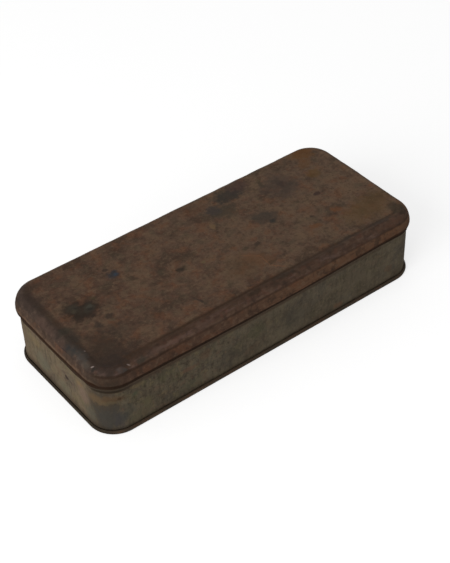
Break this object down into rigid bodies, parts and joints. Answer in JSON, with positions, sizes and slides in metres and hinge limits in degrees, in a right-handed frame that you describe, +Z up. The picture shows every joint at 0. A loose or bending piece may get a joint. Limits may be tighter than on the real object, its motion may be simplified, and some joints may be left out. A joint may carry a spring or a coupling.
{
  "type": "slip-lid tin box",
  "caption": "Shut slip-lid tin box, long and low with rounded corners, pressed lid with curled skirt, old rusty tinplate.",
  "frame": {"origin": "middle of the flat face that the tin stands on, at the foot of the bottom seam", "axes": "+X along the tin's long side, +Y towards its back with the side seam, +Z up through the lid"},
  "size_m": [0.2308, 0.0996, 0.0464],
  "materials": {
    "seam_tinplate": "dark rusted tinplate, matt",
    "wall_tinplate": "tarnished olive-grey tinplate with freckles of rust",
    "lid_tinplate": "brown rusted and stained tinplate, slightly waxy"
  },
  "bodies": {
    "root": {"bottom": "seam_tinplate", "wall": "wall_tinplate", "lid": "lid_tinplate"}
  },
  "joints": []
}
